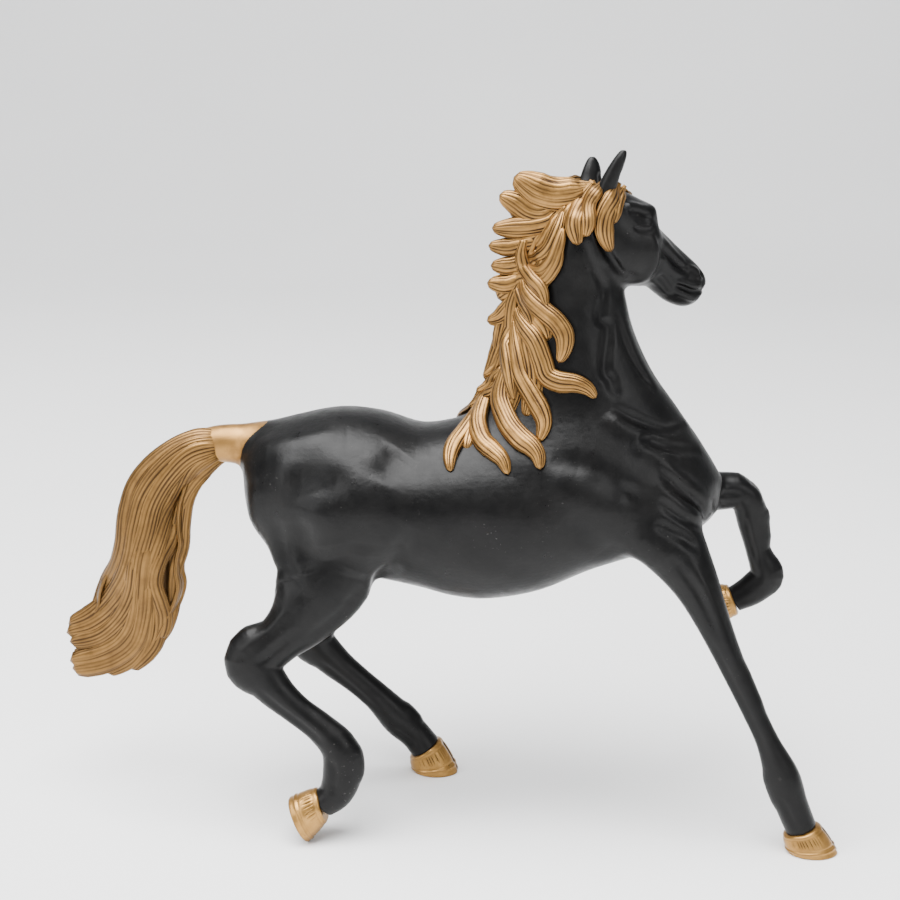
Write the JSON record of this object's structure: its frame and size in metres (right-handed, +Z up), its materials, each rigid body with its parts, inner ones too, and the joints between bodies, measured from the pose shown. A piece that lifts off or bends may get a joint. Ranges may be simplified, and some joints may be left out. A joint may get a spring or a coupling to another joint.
{
  "type": "horse statuette",
  "caption": "Cast bronze statuette of a prancing horse with one foreleg raised, black patina on the body and gilt mane, tail and hooves.",
  "frame": {"origin": "on the ground, at the centre of the footprint of the whole statuette", "axes": "+X is the way the horse faces, +Y is its left side, +Z is up"},
  "size_m": [0.3499, 0.0991, 0.3012],
  "materials": {
    "black_patina_bronze": "bronze under a satin black patina, faintly mottled, rubbed on the high points",
    "gilt_bronze": "gilt bronze, satin, with dark brown toning in the grooves between the strands",
    "gilt_hoof": "gilt bronze, smooth satin with fine file marks",
    "steel_pin": "plain turned steel",
    "bronze_plug": "bronze rod, filed flush and patinated black"
  },
  "bodies": {
    "root": {"torso": "black_patina_bronze", "neck": "black_patina_bronze", "head": "black_patina_bronze", "right_ear": "black_patina_bronze", "left_ear": "black_patina_bronze", "right_fore_leg": "black_patina_bronze", "left_fore_leg": "black_patina_bronze", "right_hind_leg": "black_patina_bronze", "left_hind_leg": "black_patina_bronze", "right_fore_hoof": "gilt_hoof", "left_fore_hoof": "gilt_hoof", "right_hind_hoof": "gilt_hoof", "left_hind_hoof": "gilt_hoof", "mane_crest": "gilt_bronze", "mane_upper_locks": "gilt_bronze", "mane_lower_locks": "gilt_bronze", "poll_locks": "gilt_bronze", "forelock": "gilt_bronze", "tail_dock": "gilt_bronze", "tail_hair": "gilt_bronze", "right_fore_pin": "steel_pin", "left_fore_pin": "steel_pin", "right_hind_pin": "steel_pin", "left_hind_pin": "steel_pin", "head_pin": "steel_pin", "tail_stud": "steel_pin", "neck_pins": "steel_pin", "mane_pins": "steel_pin", "hoof_pins": "steel_pin", "core_plugs": "bronze_plug"}
  },
  "joints": []
}
